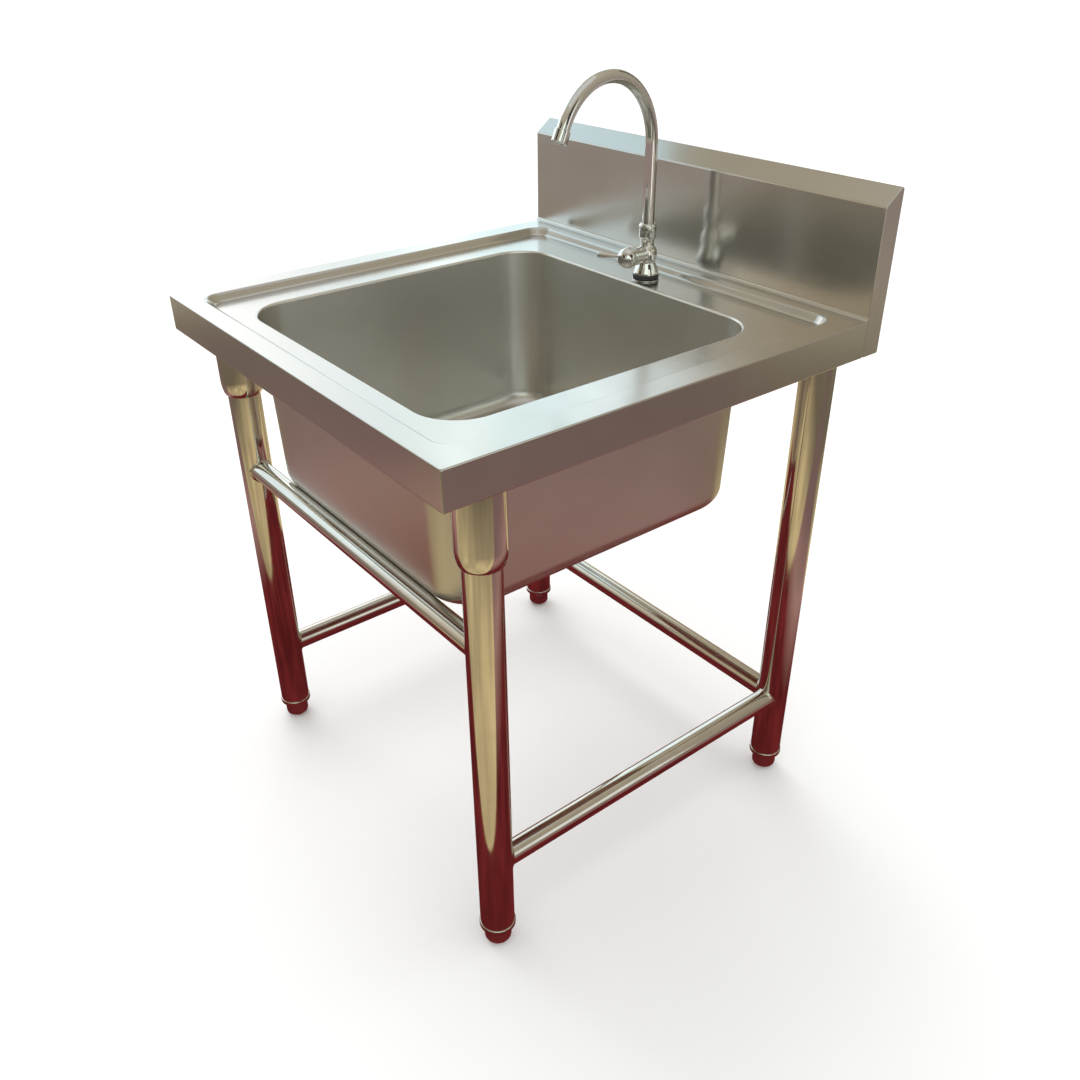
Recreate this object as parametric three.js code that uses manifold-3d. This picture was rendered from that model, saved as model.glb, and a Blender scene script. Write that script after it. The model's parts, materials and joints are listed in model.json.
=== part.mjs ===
// Portable handwash sink: a satin stainless deck with one deep bowl and a boxed backsplash, on a
// polished tube stand with screw-in feet, with a chrome single-lever pillar tap and a basket drain.
// Millimetres, +Z up, the front faces -Y. The origin is on the floor, under the middle of the deck.

import * as THREE from 'three';
import { mergeVertices } from 'three/addons/utils/BufferGeometryUtils.js';
import Module from 'manifold-3d';

// ---- Driving dimensions ----

const width = 700;
const depth = 700;
const deckTop = 780;
const backsplashTop = 950;
const backsplashDepth = 32;
const backsplashSlope = 24;
const apronHeight = 50;
const sheet = 1.5;
const gap = 0.3;

const recess = { halfX: 307, front: -312, back: 287, depth: 11, run: 6, corner: 22 };
const bowl = { halfX: 254, halfY: 252, centreY: -31, bottom: 506, wall: 1.2, corner: 60, edge: 26 };
const bowlDraft = 0.03;
const bowlLip = 6;

const legX = 310;
const legY = 280;
const legRadius = 24;
const tubeWall = 1.4;
const socket = { radius: 31, bottom: 626, shoulder: 651, top: 745.4 };
const railRadius = 16;
const railWall = 1.2;
const lowRailZ = 150;
const frontRailZ = 500;
const footTravelRoom = 34;

const tapY = 250;
const valveZ = 807.5;
const spoutTurn = THREE.MathUtils.degToRad(8);
const spout = { radius: 8.9, wall: 1, start: 824.5, bendZ: 961, bendRadius: 97, sweep: 152, tip: 14 };

// ---- Derived heights ----

const halfWidth = width / 2;
const halfDepth = depth / 2;
const apronBottom = deckTop - apronHeight;
const fieldTop = deckTop - recess.depth;
const fieldUnder = fieldTop - sheet;
const splashFace = halfDepth - backsplashDepth;
const channelWeb = socket.top + gap;

// ---- Finishes ----

const finishes = {
  satinSteel: { color: 0xb8b2a7, roughness: 0.36, metalness: 1 },
  polishedSteel: { color: 0xcfc6b4, roughness: 0.1, metalness: 1 },
  chrome: { color: 0xdedcd8, roughness: 0.05, metalness: 1 },
  rubber: { color: 0x1d1d1e, roughness: 0.75, metalness: 0 },
  plastic: { color: 0xd8d8d4, roughness: 0.45, metalness: 0 },
};

const sink = new THREE.Group();

function add(name, geometry, finish) {
  const mesh = new THREE.Mesh(geometry, new THREE.MeshStandardMaterial(finishes[finish]));
  mesh.name = name;
  sink.add(mesh);
}

// ---- Solids ----

const wasm = await Module();
wasm.setup();

function toSolid(geometry) {
  const loose = geometry.index ? geometry.toNonIndexed() : geometry.clone();
  loose.deleteAttribute('normal');
  loose.deleteAttribute('uv');
  const merged = mergeVertices(loose, 1e-3);
  return new wasm.Manifold(
    new wasm.Mesh({
      numProp: 3,
      vertProperties: new Float32Array(merged.attributes.position.array),
      triVerts: new Uint32Array(merged.index.array),
    }),
  );
}

function toGeometry(solid) {
  const { vertProperties, triVerts } = solid.getMesh();
  const geometry = new THREE.BufferGeometry();
  geometry.setAttribute('position', new THREE.BufferAttribute(new Float32Array(vertProperties), 3));
  geometry.setIndex(new THREE.BufferAttribute(new Uint32Array(triVerts), 1));
  const flat = geometry.toNonIndexed();
  flat.computeVertexNormals();
  return flat;
}

function cut(body, ...tools) {
  return toGeometry(tools.reduce((solid, tool) => solid.subtract(toSolid(tool)), toSolid(body)));
}

function join(body, ...others) {
  return toGeometry(others.reduce((solid, other) => solid.add(toSolid(other)), toSolid(body)));
}

function block([x0, x1], [y0, y1], [z0, z1]) {
  const geometry = new THREE.BoxGeometry(x1 - x0, y1 - y0, z1 - z0);
  return geometry.translate((x0 + x1) / 2, (y0 + y1) / 2, (z0 + z1) / 2);
}

function rod(radius, bottom, top, { x = 0, y = 0, sides = 20 } = {}) {
  const geometry = new THREE.CylinderGeometry(radius, radius, top - bottom, sides);
  return geometry.rotateX(Math.PI / 2).translate(x, y, (top + bottom) / 2);
}

// A turned piece about the Z axis: the profile lists [radius, height] up the outside.
function turned(profile, sides = 20) {
  const points = profile.map(([radius, height]) => new THREE.Vector2(radius, height));
  return new THREE.LatheGeometry(points, sides).rotateX(Math.PI / 2);
}

function ring(inner, outer, bottom, top, sides = 20) {
  return turned([[inner, bottom], [outer, bottom], [outer, top], [inner, top], [inner, bottom]], sides);
}

// Points of a round stretch of a profile, about [radius, height], between two angles in degrees.
function arc([cx, cz], radius, from, to, steps = 5) {
  return Array.from({ length: steps + 1 }, (_, i) => {
    const angle = THREE.MathUtils.degToRad(from + ((to - from) * i) / steps);
    return [cx + radius * Math.cos(angle), cz + radius * Math.sin(angle)];
  });
}

function roundedRectangle(halfX, front, back, radius) {
  const shape = new THREE.Shape();
  const corners = [[halfX, back], [-halfX, back], [-halfX, front], [halfX, front]];
  corners.forEach(([x, y], i) => {
    const centreX = x - Math.sign(x) * radius;
    const centreY = y === back ? y - radius : y + radius;
    shape.absarc(centreX, centreY, radius, (i * Math.PI) / 2, ((i + 1) * Math.PI) / 2);
  });
  return shape;
}

function hexagon(acrossFlats, hole) {
  const radius = acrossFlats / Math.sqrt(3);
  const shape = new THREE.Shape();
  for (let i = 0; i < 6; i += 1) {
    const angle = (i * Math.PI) / 3;
    const point = [radius * Math.cos(angle), radius * Math.sin(angle)];
    if (i === 0) shape.moveTo(...point);
    else shape.lineTo(...point);
  }
  shape.holes.push(new THREE.Path().absarc(0, 0, hole, 0, 2 * Math.PI, true));
  return shape;
}

function slab(shape, bottom, top, curveSegments = 8) {
  const options = { depth: top - bottom, bevelEnabled: false, curveSegments };
  return new THREE.ExtrudeGeometry(shape, options).translate(0, 0, bottom);
}

// A slab whose sides lean out by `run` between two heights, then stand straight above them.
function flared(shape, bottom, top, run) {
  const rise = top - bottom;
  const options = { depth: 1, bevelThickness: rise, bevelSize: run, bevelSegments: 1, curveSegments: 8 };
  return new THREE.ExtrudeGeometry(shape, options).translate(0, 0, top);
}

// A bar of one section along X: the section's outline is drawn as [y, z] points.
function alongX(outline, from, to) {
  const shape = new THREE.Shape(outline.map(([y, z]) => new THREE.Vector2(y, z)));
  const turn = new THREE.Matrix4().makeBasis(
    new THREE.Vector3(0, 1, 0),
    new THREE.Vector3(0, 0, 1),
    new THREE.Vector3(1, 0, 0),
  );
  return slab(shape, from, to).applyMatrix4(turn);
}

const sides = { left: -1, right: 1 };

// ---- Deck: raised rim, sunk field, folded aprons with a small return hem ----

const deckRear = splashFace - gap;
const tapHole = 11.5;
const hem = 6;

// The sunk field as a cutter; grown and lowered it is also the underside of the pressed step.
function field(grow, drop) {
  const { halfX, front, back, corner, run } = recess;
  const outline = roundedRectangle(halfX + grow, front - grow, back + grow, corner + grow);
  return flared(outline, fieldTop - drop, deckTop - drop, run);
}

function deck() {
  const front = -halfDepth;
  const inner = halfWidth - sheet;
  const blank = block([-halfWidth, halfWidth], [front, deckRear], [apronBottom, deckTop]);
  const rearOpen = deckRear + sheet;
  const under = block([-inner, inner], [front + sheet, rearOpen], [apronBottom + sheet, fieldUnder]);
  const mouth = block(
    [-inner + hem, inner - hem],
    [front + sheet + hem, rearOpen],
    [apronBottom - sheet, apronBottom + 2 * sheet],
  );
  const rimRoom = cut(
    block([-inner, inner], [front + sheet, rearOpen], [fieldUnder - sheet, deckTop - sheet]),
    field(sheet, sheet),
  );
  const { halfX, halfY, centreY, corner } = bowl;
  const reach = bowlLip + gap;
  const opening = roundedRectangle(
    halfX + reach,
    centreY - halfY - reach,
    centreY + halfY + reach,
    corner + reach,
  );
  return cut(
    blank,
    under,
    mouth,
    rimRoom,
    field(0, 0),
    slab(opening, fieldUnder - sheet, deckTop + sheet),
    rod(tapHole, fieldUnder - sheet, deckTop, { y: tapY }),
  );
}

// ---- Bowl: drawn basin with a small draft, a round bottom edge and a rolled lip ----

const drainHole = 44.8;

function drafted(geometry) {
  const { position } = geometry.attributes;
  for (let i = 0; i < position.count; i += 1) {
    const squeeze = 1 - (bowlDraft * (fieldTop - position.getZ(i))) / bowl.halfX;
    position.setX(i, position.getX(i) * squeeze);
    position.setY(i, bowl.centreY + (position.getY(i) - bowl.centreY) * squeeze);
  }
  return geometry;
}

function basin(inset, top) {
  const { halfX, halfY, centreY, bottom, corner, edge } = bowl;
  const radius = edge - inset;
  const outline = roundedRectangle(
    halfX - inset,
    centreY - halfY + inset,
    centreY + halfY - inset,
    corner - inset,
  );
  const options = {
    depth: top - bottom - edge,
    bevelThickness: radius,
    bevelSize: radius,
    bevelOffset: -radius,
    bevelSegments: 4,
    curveSegments: 6,
  };
  return drafted(new THREE.ExtrudeGeometry(outline, options).translate(0, 0, bottom + edge));
}

function bowlShell() {
  const { halfX, halfY, centreY, corner, wall, bottom } = bowl;
  const lipDrop = 5;
  const lipDepth = 7;
  const lip = roundedRectangle(
    halfX + bowlLip,
    centreY - halfY - bowlLip,
    centreY + halfY + bowlLip,
    corner + bowlLip,
  );
  const mouth = roundedRectangle(
    halfX - wall,
    centreY - halfY + wall,
    centreY + halfY - wall,
    corner - wall,
  );
  const above = block([-halfWidth, halfWidth], [-halfDepth, halfDepth], [fieldTop - sheet, backsplashTop]);
  const body = join(cut(basin(0, fieldTop), above), slab(lip, fieldTop - lipDepth, fieldTop));
  return cut(
    body,
    basin(wall, fieldTop + sheet),
    flared(mouth, fieldTop - lipDrop, fieldTop, bowlLip - 1),
    rod(drainHole, bottom - wall, bottom + 2 * wall, { y: centreY, sides: 24 }),
  );
}

// ---- Backsplash: one folded sheet with a sloping top, closed by a flat cap at each end ----

function backsplash() {
  const top = backsplashTop;
  const faceTop = top - backsplashSlope;
  const back = halfDepth;
  const front = splashFace;
  const inside = faceTop - sheet / 2;
  const section = [
    [front, fieldUnder],
    [front + sheet, fieldUnder],
    [front + sheet, inside],
    [back - sheet, top - 1.5 * sheet],
    [back - sheet, apronBottom + sheet],
    [back - 2 * hem, apronBottom + sheet],
    [back - 2 * hem, apronBottom],
    [back, apronBottom],
    [back, top],
    [front, faceTop],
  ];
  const end = halfWidth - sheet - gap;
  return alongX(section, -end, end);
}

function backsplashEnd(side) {
  const outline = [
    [splashFace, apronBottom],
    [halfDepth, apronBottom],
    [halfDepth, backsplashTop],
    [splashFace, backsplashTop - backsplashSlope],
  ];
  const [from, to] = side > 0 ? [halfWidth - sheet, halfWidth] : [-halfWidth, sheet - halfWidth];
  return alongX(outline, from, to);
}

// ---- Stand: channels under the deck, sockets, legs, screw-in feet and rails ----

// A folded channel under each side of the deck, drawn for the right-hand side as [x, z].
function channel(side) {
  const web = channelWeb;
  const inner = 276;
  const outer = 344;
  const seat = fieldUnder - gap;
  const rimSeat = deckTop - sheet - gap;
  const section = [
    [inner - 10, seat - sheet],
    [inner, seat - sheet],
    [inner, web],
    [outer, web],
    [outer, rimSeat],
    [outer - sheet, rimSeat],
    [outer - sheet, web + sheet],
    [inner + sheet, web + sheet],
    [inner + sheet, seat],
    [inner - 10, seat],
  ];
  const shape = new THREE.Shape(section.map(([x, z]) => new THREE.Vector2(side * x, z)));
  const stretch = { from: -halfDepth + 2 * sheet, to: deckRear - sheet };
  return slab(shape, -stretch.to, -stretch.from).rotateX(Math.PI / 2);
}

const bore = legRadius + gap;
const legTop = socket.top - 5;

function frontSocket() {
  const { radius, bottom, shoulder, top } = socket;
  const lip = bore + 0.8;
  const steps = 5;
  const swell = (step) => {
    const angle = (step / steps) * (Math.PI / 2);
    const reach = lip + (radius - lip) * Math.sin(angle);
    return [reach, shoulder - (shoulder - bottom) * Math.cos(angle)];
  };
  return turned([
    [0, legTop + gap],
    [bore, legTop + gap],
    [bore, bottom],
    ...Array.from({ length: steps + 1 }, (_, step) => swell(step)),
    [radius, top],
    [0, top],
  ], 24);
}

function rearSleeve() {
  const bottom = apronBottom + sheet + gap;
  return turned([
    [0, legTop + gap],
    [bore, legTop + gap],
    [bore, bottom],
    [socket.radius, bottom],
    [socket.radius, socket.top],
    [0, socket.top],
  ], 24);
}

const screwRadius = 4;
const screwZ = 738.5;

// A headless grub screw through the inner wall of a socket, with a hexagonal key recess.
function grubScrew(side) {
  const length = socket.radius - bore - gap;
  const body = rod(screwRadius, 0, length, { sides: 16 });
  const key = new THREE.CylinderGeometry(2, 2, 3, 6).rotateX(Math.PI / 2).translate(0, 0, length);
  return cut(body, key).rotateY((-side * Math.PI) / 2).translate(-side * (bore + gap / 2), 0, screwZ);
}

function screwHole(side) {
  const hole = rod(screwRadius + gap, bore - 2, socket.radius + 2, { sides: 16 });
  return hole.rotateY((-side * Math.PI) / 2).translate(0, 0, screwZ);
}

const insert = { bottom: 30, flangeTop: 38, top: 78, flange: 25.4, bore: 6.4 };
const footRadius = 19;
const stemRadius = 6;

function legTube() {
  return ring(legRadius - tubeWall, legRadius, insert.flangeTop + gap, legTop, 24);
}

function legInsert() {
  const plug = legRadius - tubeWall - gap;
  return turned([
    [insert.bore, insert.bottom],
    [insert.flange - 1.5, insert.bottom],
    [insert.flange, insert.bottom + 1.5],
    [insert.flange, insert.flangeTop - 1.5],
    [insert.flange - 1, insert.flangeTop],
    [plug, insert.flangeTop],
    [plug, insert.top],
    [insert.bore, insert.top],
    [insert.bore, insert.bottom],
  ], 24);
}

function foot() {
  const shoulder = insert.bottom - gap;
  const sole = 12;
  const round = 7;
  return turned([
    [0, 0],
    [sole, 0],
    ...arc([footRadius - round, round], round, -90, 0, 3),
    [footRadius, shoulder - 4],
    [footRadius - 3, shoulder],
    [stemRadius, shoulder],
    [stemRadius, insert.bottom + footTravelRoom],
    [stemRadius - 1, insert.bottom + footTravelRoom + 1],
    [0, insert.bottom + footTravelRoom + 1],
  ]);
}

// A rail between two legs, its ends saddled round them. It is drawn along X and turned into place.
function rail(span) {
  const tube = ring(railRadius - railWall, railRadius, -span / 2, span / 2, 20).rotateY(Math.PI / 2);
  const saddles = [-span / 2, span / 2].map((x) => rod(bore, -40, 40, { x, sides: 24 }));
  return cut(tube, ...saddles);
}

function stand() {
  for (const [end, y] of [['front', -legY], ['rear', legY]]) {
    for (const [name, side] of Object.entries(sides)) {
      const place = (geometry) => geometry.translate(side * legX, y, 0);
      const holder = cut(end === 'front' ? frontSocket() : rearSleeve(), screwHole(side));
      const holderName = end === 'front' ? 'leg_socket_front' : 'leg_sleeve_rear';
      add(`${holderName}_${name}`, place(holder), 'polishedSteel');
      add(`set_screw_${end}_${name}`, place(grubScrew(side)), 'satinSteel');
      add(`leg_${end}_${name}`, place(legTube()), 'polishedSteel');
      add(`leg_insert_${end}_${name}`, place(legInsert()), 'polishedSteel');
      add(`foot_${end}_${name}`, place(foot()), 'satinSteel');
    }
  }
  for (const [name, side] of Object.entries(sides)) {
    add(`side_channel_${name}`, channel(side), 'satinSteel');
    const sideRail = rail(2 * legY).rotateZ(Math.PI / 2).translate(side * legX, 0, lowRailZ);
    add(`rail_${name}`, sideRail, 'polishedSteel');
  }
  add('rail_front', rail(2 * legX).translate(0, -legY, frontRailZ), 'polishedSteel');
  add('rail_rear', rail(2 * legX).translate(0, legY, lowRailZ), 'polishedSteel');
}

// ---- Drain: flanged body, seals and nut, lift-out basket, tailpiece ----

const drain = { flange: 56, cup: 44, wall: 1.5, cupBottom: 464, stub: 20, stubBore: 17, stubBottom: 442 };
const tailpieceBottom = 371;

function drainBody() {
  const seat = bowl.bottom + bowl.wall + gap;
  const { flange, cup, wall, cupBottom, stub, stubBore, stubBottom } = drain;
  return turned([
    [stubBore, stubBottom],
    [stub, stubBottom],
    [stub, cupBottom],
    [cup - 8, cupBottom],
    [cup, cupBottom + 8],
    [cup, seat],
    [flange, seat],
    [flange - 2, seat + 2],
    [cup + 1, seat + 2.4],
    [cup - wall, seat],
    [cup - wall, cupBottom + 9],
    [cup - 9, cupBottom + wall],
    [stubBore, cupBottom + wall],
    [stubBore, stubBottom],
  ], 24);
}

const basket = { rim: 42.1, radius: 38, wall: 1, bottom: 470, top: 505 };

function strainerBasket() {
  const { rim, radius, wall, bottom, top } = basket;
  const cup = turned([
    [0, bottom],
    [radius - 6, bottom],
    [radius, bottom + 6],
    [radius, top - wall],
    [rim, top - wall],
    [rim, top],
    [radius - wall, top],
    [radius - wall, bottom + 6 + wall],
    [radius - 6 - wall, bottom + wall],
    [0, bottom + wall],
  ], 24);
  const slots = Array.from({ length: 8 }, (_, i) =>
    block([radius - 4, radius + 2], [-2, 2], [bottom + 12, top - 8]).rotateZ((i * Math.PI) / 4),
  );
  const holes = Array.from({ length: 8 }, (_, i) =>
    rod(3, bottom - wall, bottom + 3 * wall, { x: 22, sides: 8 }).rotateZ((i * Math.PI) / 4),
  );
  return cut(cup, ...slots, ...holes);
}

function strainerKnob() {
  const foothold = basket.bottom + basket.wall + gap;
  const neck = basket.top - 8;
  return turned([
    [0, foothold],
    [6, foothold],
    [6, foothold + 2],
    [2.5, foothold + 3],
    [2.5, neck],
    ...arc([4, neck + 6], 6, -70, 70, 4),
    [0, neck + 12.5],
  ], 16);
}

function tailpiece() {
  const top = drain.stubBottom - 2;
  return turned([
    [17.4, tailpieceBottom],
    [19, tailpieceBottom],
    [19, top - 2],
    [22, top - 2],
    [22, top],
    [17.4, top],
    [17.4, tailpieceBottom],
  ]);
}

function drainSet() {
  const under = bowl.bottom - gap;
  const place = (geometry) => geometry.translate(0, bowl.centreY, 0);
  const gasket = ring(drain.cup + gap, drain.flange, under - 3, under, 24);
  const washer = ring(drain.cup + gap, drain.flange - 1, under - 4.5, under - 3 - gap, 24);
  const lockNut = slab(hexagon(112, drain.cup + gap), under - 13, under - 4.5 - gap, 12);
  const nutTop = drain.stubBottom + 14;
  const tailNut = join(
    slab(hexagon(50, 22.4), drain.stubBottom - 6, nutTop - 10, 10),
    ring(19.4, 24, drain.stubBottom - 6, drain.stubBottom - 4.3),
    ring(20.4, 24, nutTop - 12, nutTop),
  );
  add('drain_body', place(drainBody()), 'polishedSteel');
  add('drain_gasket', place(gasket), 'rubber');
  add('drain_washer', place(washer), 'plastic');
  add('drain_lock_nut', place(lockNut), 'satinSteel');
  add('strainer_basket', place(strainerBasket()), 'polishedSteel');
  add('strainer_knob', place(strainerKnob()), 'polishedSteel');
  const tailSeal = ring(17.4, 22, drain.stubBottom - 2 + gap, drain.stubBottom - gap);
  add('tailpiece_gasket', place(tailSeal), 'rubber');
  add('tailpiece', place(tailpiece()), 'chrome');
  add('tailpiece_nut', place(tailNut), 'chrome');
}

// ---- Tap ----

const shank = { radius: 10, bore: 6.5, bottom: 712 };
const bell = { radius: 18.5, bottom: 774.9, top: 796, neck: 11 };
const neckTop = 822;
const barrel = { radius: 12.5, bore: 9.3, end: 30 };

// Turns a piece drawn up the Z axis so that it points forward from the tap, at the valve's height.
function forward(geometry) {
  return geometry.rotateX(Math.PI / 2).translate(0, 0, valveZ);
}

function tapBody() {
  const bellCurve = Array.from({ length: 5 }, (_, i) => {
    const t = i / 4;
    const radius = bell.neck + (bell.radius - bell.neck) * (1 - t) ** 2;
    return [radius, bell.bottom + 2 + (bell.top - bell.bottom - 2) * t];
  });
  const outer = turned([
    [0, shank.bottom],
    [shank.radius, shank.bottom],
    [shank.radius, bell.bottom],
    [bell.radius, bell.bottom],
    ...bellCurve,
    ...arc([0, valveZ], 14.5, -40, 40, 4),
    [11, neckTop],
    [0, neckTop],
  ]);
  const body = join(outer, forward(rod(barrel.radius, 0, barrel.end)));
  return cut(
    body,
    rod(shank.bore, shank.bottom - 1, neckTop + 1, { sides: 16 }),
    forward(rod(barrel.bore, 9, barrel.end + 1)),
  );
}

const stem = { radius: 3, from: 14, to: 39.7 };
const hub = { radius: 15, from: 34.3, face: 48, bore: 3.4, well: 9.3, wellFloor: 42 };

const lever = { root: [-9, 39], tip: [-40, 63], radius: 2.6 };
const leverLength = Math.hypot(lever.tip[0] - lever.root[0], lever.tip[1] - lever.root[1]);
const leverSlant = Math.atan2(lever.tip[0] - lever.root[0], lever.tip[1] - lever.root[1]);

// Lays a piece drawn up the Z axis along the lever, from its root in the hub.
function alongLever(geometry) {
  return forward(geometry.rotateY(leverSlant).translate(lever.root[0], 0, lever.root[1]));
}

function leverArm() {
  const { radius } = lever;
  const arm = turned([
    [0, 0],
    [radius, 0],
    [radius, leverLength * 0.55],
    [radius + 0.5, leverLength * 0.7],
    ...arc([0.6, leverLength - 3.4], 3.4, -20, 90, 4),
    [0, leverLength],
  ], 12);
  return alongLever(arm);
}

function handleHub() {
  const { radius, from, face, bore: stemBore, well, wellFloor } = hub;
  const turnedHub = turned([
    [stemBore, from],
    [radius - 1, from],
    [radius, from + 1],
    [radius, face - 3],
    ...arc([radius - 3, face - 3], 3, 0, 90, 4).slice(1),
    [well, face],
    [well, wellFloor],
    [stemBore, wellFloor],
    [stemBore, from],
  ]);
  return cut(forward(turnedHub), alongLever(rod(lever.radius + gap, -gap, leverLength, { sides: 12 })));
}

function valveStem() {
  const socketRadius = 2;
  return turned([
    [0, stem.from],
    [stem.radius, stem.from],
    [stem.radius, stem.to],
    [socketRadius, stem.to],
    [socketRadius, stem.to - 6],
    [0, stem.to - 6],
  ], 16);
}

function handleScrew() {
  return turned([
    [0, stem.to - 5.5],
    [1.7, stem.to - 5.5],
    [1.7, hub.wellFloor + gap],
    [4.5, hub.wellFloor + gap],
    [4.5, hub.wellFloor + 2],
    [3.6, hub.wellFloor + 2.8],
    [0, hub.wellFloor + 2.8],
  ], 12);
}

function hubCap() {
  const plug = hub.well - gap;
  const seat = hub.face + gap;
  const dome = Array.from({ length: 4 }, (_, i) => {
    const angle = (i * Math.PI) / 6;
    return [11.8 * Math.cos(angle), seat + 0.8 + 3.4 * Math.sin(angle)];
  });
  return turned([
    [0, seat - 3],
    [plug, seat - 3],
    [plug, seat],
    [11.8, seat],
    ...dome.slice(0, -1),
    [0, seat + 4.2],
  ]);
}

// The spout's centre line: straight up, one round bend, and a short straight end.
class Gooseneck extends THREE.Curve {
  constructor() {
    super();
    this.sweep = THREE.MathUtils.degToRad(spout.sweep);
    this.rise = spout.bendZ - spout.start;
    this.bend = this.sweep * spout.bendRadius;
    this.total = this.rise + this.bend + spout.tip;
  }

  getPoint(t) {
    const along = t * this.total;
    const turn = THREE.MathUtils.clamp((along - this.rise) / spout.bendRadius, 0, this.sweep);
    const rise = Math.min(along, this.rise);
    const past = Math.max(along - this.rise - this.bend, 0);
    const reach = spout.bendRadius * (1 - Math.cos(turn)) + past * Math.sin(turn);
    const height = spout.start + rise + spout.bendRadius * Math.sin(turn) + past * Math.cos(turn);
    return new THREE.Vector3(0, -reach, height);
  }
}

const centreLine = new Gooseneck();

function spoutTube() {
  const section = new THREE.Shape().absarc(0, 0, spout.radius, 0, 2 * Math.PI);
  section.holes.push(new THREE.Path().absarc(0, 0, spout.radius - spout.wall, 0, 2 * Math.PI, true));
  const options = { extrudePath: centreLine, steps: 30, curveSegments: 6, bevelEnabled: false };
  return new THREE.ExtrudeGeometry(section, options);
}

// Sets a piece drawn down from the spout's end, where the water leaves, onto that end.
function onSpoutEnd(geometry) {
  const end = centreLine.getPoint(1);
  const direction = centreLine.getTangent(1);
  const turn = new THREE.Quaternion().setFromUnitVectors(new THREE.Vector3(0, 0, 1), direction);
  return geometry.applyQuaternion(turn).translate(end.x, end.y, end.z);
}

function aeratorHousing() {
  const radius = 10.6;
  return turned([
    [spout.radius + gap, -9],
    [radius - 0.6, -9],
    [radius, -8.4],
    [radius, 6.4],
    [radius - 0.6, 7],
    [8.6, 7],
    [8.6, gap],
    [spout.radius + gap, gap],
    [spout.radius + gap, -9],
  ]);
}

function aeratorInsert() {
  const plate = rod(8.3, 2, 6);
  const jets = Array.from({ length: 6 }, (_, i) =>
    rod(1.2, 1, 7, { x: 5, sides: 8 }).rotateZ((i * Math.PI) / 3),
  );
  return cut(plate, rod(1.6, 1, 7, { sides: 8 }), ...jets);
}

function spoutNut() {
  const body = turned([
    [spout.radius + gap, 831],
    [11.6, 831],
    [12.6, 832.5],
    [12.6, 842],
    [13.2, 843],
    [13.2, 849],
    ...arc([10.2, 849], 3, 0, 90, 4),
    [spout.radius + gap, 852],
    [spout.radius + gap, 831],
  ]);
  const flutes = Array.from({ length: 8 }, (_, i) =>
    rod(2.4, 830, 841.5, { x: 14.2, sides: 8 }).rotateZ((i * Math.PI) / 4),
  );
  return cut(body, ...flutes);
}

function spoutCollar() {
  const well = 11.1;
  return turned([
    [shank.bore + 0.7, neckTop + gap],
    [11.6, neckTop + gap],
    [12.2, neckTop + 1],
    [12.2, 829.7],
    [11.6, 830.7],
    [well, 830.7],
    [well, 824.2],
    [shank.bore + 0.7, 824.2],
    [shank.bore + 0.7, neckTop + gap],
  ]);
}

function tap() {
  const place = (geometry) => geometry.translate(0, tapY, 0);
  const swung = (geometry) => place(geometry.rotateZ(spoutTurn));
  const gasketTop = fieldTop + gap + 2.2;
  add('tap_base_gasket', place(ring(10.4, 19.5, fieldTop + gap, gasketTop)), 'rubber');
  add('tap_base_flange', place(ring(10.4, 19.8, gasketTop + gap, bell.bottom - gap)), 'chrome');
  add('tap_body', place(tapBody()), 'chrome');
  const washerTop = fieldUnder - gap;
  add('tap_mounting_washer', place(ring(10.4, 17, washerTop - 2.5, washerTop)), 'rubber');
  const backNut = slab(hexagon(30, 10.4), washerTop - 13, washerTop - 2.5 - gap, 12);
  add('tap_back_nut', place(backNut), 'satinSteel');
  const cartridge = ring(stem.radius + gap, barrel.bore - gap, 12, barrel.end);
  add('valve_cartridge', place(forward(cartridge)), 'plastic');
  const bonnet = ring(stem.radius + gap, 13.5, barrel.end + gap, hub.from - gap);
  add('valve_bonnet', place(forward(bonnet)), 'chrome');
  add('valve_stem', place(forward(valveStem())), 'satinSteel');
  add('handle_hub', place(handleHub()), 'chrome');
  add('handle_lever', place(leverArm()), 'chrome');
  add('handle_screw', place(forward(handleScrew())), 'satinSteel');
  add('handle_cap', place(forward(hubCap())), 'chrome');
  add('spout_collar', place(spoutCollar()), 'chrome');
  add('spout_seal', place(ring(9.2, 10.8, 825, 828, 24)), 'rubber');
  add('spout_nut', place(spoutNut()), 'chrome');
  add('spout', swung(spoutTube()), 'chrome');
  add('aerator_housing', swung(onSpoutEnd(aeratorHousing())), 'chrome');
  add('aerator_insert', swung(onSpoutEnd(aeratorInsert())), 'plastic');
}

add('deck_top', deck(), 'satinSteel');
add('bowl', bowlShell(), 'satinSteel');
add('backsplash', backsplash(), 'satinSteel');
for (const [name, side] of Object.entries(sides)) {
  add(`backsplash_end_${name}`, backsplashEnd(side), 'satinSteel');
}
stand();
drainSet();
tap();

export default sink;
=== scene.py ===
"""Portable handwash sink: its finished surfaces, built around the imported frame.

Metres, +Z up, the front faces -Y. Every piece takes its place from the CAD node it stands for.
"""

import json
import math

import bmesh
import bpy
from mathutils import Matrix, Vector

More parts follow.
